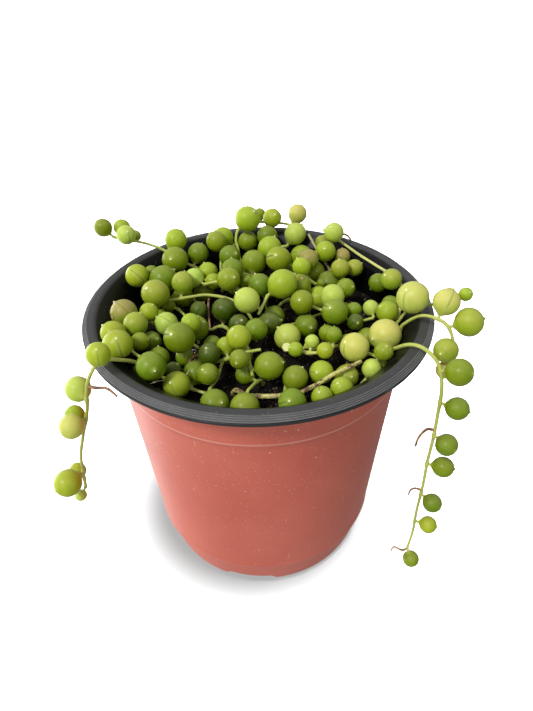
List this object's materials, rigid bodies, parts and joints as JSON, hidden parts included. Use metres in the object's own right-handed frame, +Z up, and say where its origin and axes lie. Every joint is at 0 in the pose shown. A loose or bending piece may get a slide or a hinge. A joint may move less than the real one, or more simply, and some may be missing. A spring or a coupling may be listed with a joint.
{
  "type": "potted string of pearls",
  "caption": "Trailing succulent with bead-like leaves on thin stems, growing in a round plastic nursery pot; some stems hang over the rim.",
  "frame": {"origin": "centre of the pot's underside, on the surface it stands on", "axes": "+Z up along the pot's axis; -Y towards the drain notch that is nearly in front, +X to the side with the longest hanging stem"},
  "size_m": [0.138, 0.1229, 0.122],
  "materials": {
    "terracotta_plastic": "Moulded nursery-pot plastic, terracotta coloured outside and black inside and on the lip, satin, with fine pale specks and scuffs.",
    "potting_soil": "Dark peat potting mix with bark crumbs and white perlite, rough and matt.",
    "pearl_strand": "Waxy succulent pearls from yellow-green to dark green on thin pale green stems, softly glossy."
  },
  "bodies": {
    "root": {"pot": "terracotta_plastic", "soil": "potting_soil", "strand_west_crest": "pearl_strand", "strand_north_crest": "pearl_strand", "strand_east_rim": "pearl_strand", "strand_east_twig": "pearl_strand", "strand_east_arch": "pearl_strand", "strand_east_fall": "pearl_strand", "strand_west_fall": "pearl_strand", "strand_west_a": "pearl_strand", "strand_west_b": "pearl_strand", "strand_west_c": "pearl_strand", "strand_west_low": "pearl_strand", "strand_west_top": "pearl_strand", "strand_west_mid": "pearl_strand", "strand_front_a": "pearl_strand", "strand_front_b": "pearl_strand", "strand_front_f": "pearl_strand", "strand_front_c": "pearl_strand", "strand_front_buds": "pearl_strand", "strand_front_d": "pearl_strand", "strand_front_g": "pearl_strand", "strand_front_e": "pearl_strand", "strand_southeast": "pearl_strand", "strand_east_low": "pearl_strand", "strand_middle_a": "pearl_strand", "strand_middle_b": "pearl_strand", "strand_middle_c": "pearl_strand", "strand_middle_d": "pearl_strand", "strand_middle_e": "pearl_strand", "strand_middle_f": "pearl_strand", "strand_middle_g": "pearl_strand", "strand_north_a": "pearl_strand", "strand_north_b": "pearl_strand", "strand_north_c": "pearl_strand", "strand_north_d": "pearl_strand", "strand_northeast_a": "pearl_strand", "strand_northeast_b": "pearl_strand", "strand_east_bud": "pearl_strand", "strand_northeast_c": "pearl_strand", "cut_stub": "pearl_strand", "old_stem": "pearl_strand"}
  },
  "joints": []
}
